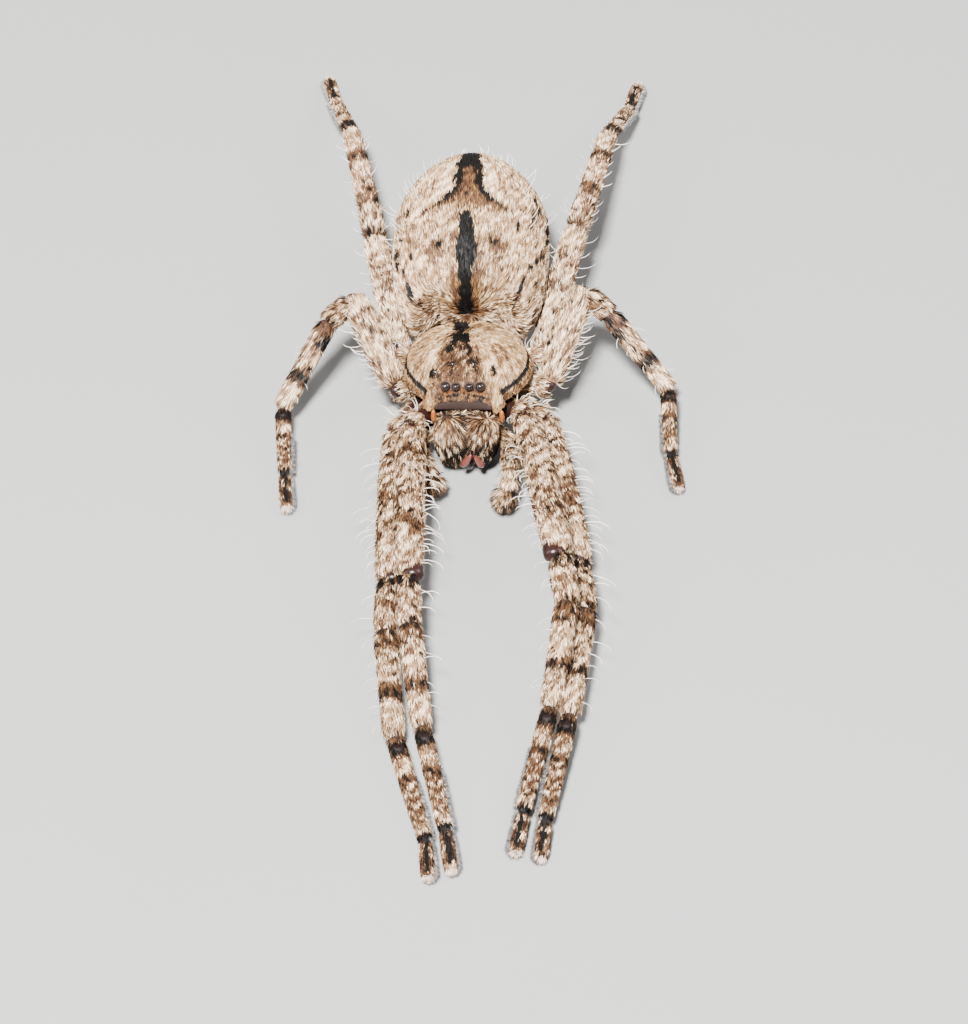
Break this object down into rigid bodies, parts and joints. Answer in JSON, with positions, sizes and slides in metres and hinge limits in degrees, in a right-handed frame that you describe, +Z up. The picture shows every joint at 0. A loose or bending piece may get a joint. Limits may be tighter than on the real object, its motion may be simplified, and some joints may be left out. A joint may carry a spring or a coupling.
{
  "type": "huntsman spider",
  "caption": "Life-size still huntsman spider standing on a flat floor, front legs stretched forward in pairs, short coat and sparse bristles.",
  "frame": {"origin": "on the floor, under the middle of the spider's bounding box", "axes": "+Z up, -Y the way the head points, +X the animal's left side"},
  "size_m": [0.0308, 0.078, 0.0094],
  "materials": {
    "coat": "short dense hair, matte, mottled beige and brown",
    "bare_cuticle": "smooth dark brown cuticle, glossy",
    "fang": "smooth reddish brown, glossy",
    "eye": "black lens, very glossy"
  },
  "bodies": {
    "root": {"carapace": "coat", "sternum": "coat", "pedicel": "coat", "abdomen": "coat", "spinnerets": "coat", "eye_front_middle_right": "eye", "eye_front_middle_left": "eye", "eye_front_outer_right": "eye", "eye_front_outer_left": "eye", "eye_rear_middle_right": "eye", "eye_rear_middle_left": "eye", "eye_rear_outer_right": "eye", "eye_rear_outer_left": "eye", "chelicera_right": "coat", "fang_right": "fang", "palp_right_coxa": "coat", "palp_right_femur": "coat", "palp_right_tibia": "coat", "palp_right_tarsus": "coat", "leg_1_right_coxa": "coat", "leg_1_right_femur": "coat", "leg_1_right_tibia": "coat", "leg_1_right_foot": "coat", "leg_2_right_coxa": "coat", "leg_2_right_femur": "coat", "leg_2_right_tibia": "coat", "leg_2_right_foot": "coat", "leg_3_right_coxa": "coat", "leg_3_right_femur": "coat", "leg_3_right_tibia": "coat", "leg_3_right_foot": "coat", "leg_4_right_coxa": "coat", "leg_4_right_femur": "coat", "leg_4_right_tibia": "coat", "leg_4_right_foot": "coat", "chelicera_left": "coat", "fang_left": "fang", "palp_left_coxa": "coat", "palp_left_femur": "coat", "palp_left_tibia": "coat", "palp_left_tarsus": "coat", "leg_1_left_coxa": "coat", "leg_1_left_femur": "coat", "leg_1_left_tibia": "coat", "leg_1_left_foot": "coat", "leg_2_left_coxa": "coat", "leg_2_left_femur": "coat", "leg_2_left_tibia": "coat", "leg_2_left_foot": "coat", "leg_3_left_coxa": "coat", "leg_3_left_femur": "coat", "leg_3_left_tibia": "coat", "leg_3_left_foot": "coat", "leg_4_left_coxa": "coat", "leg_4_left_femur": "coat", "leg_4_left_tibia": "coat", "leg_4_left_foot": "coat"}
  },
  "joints": []
}
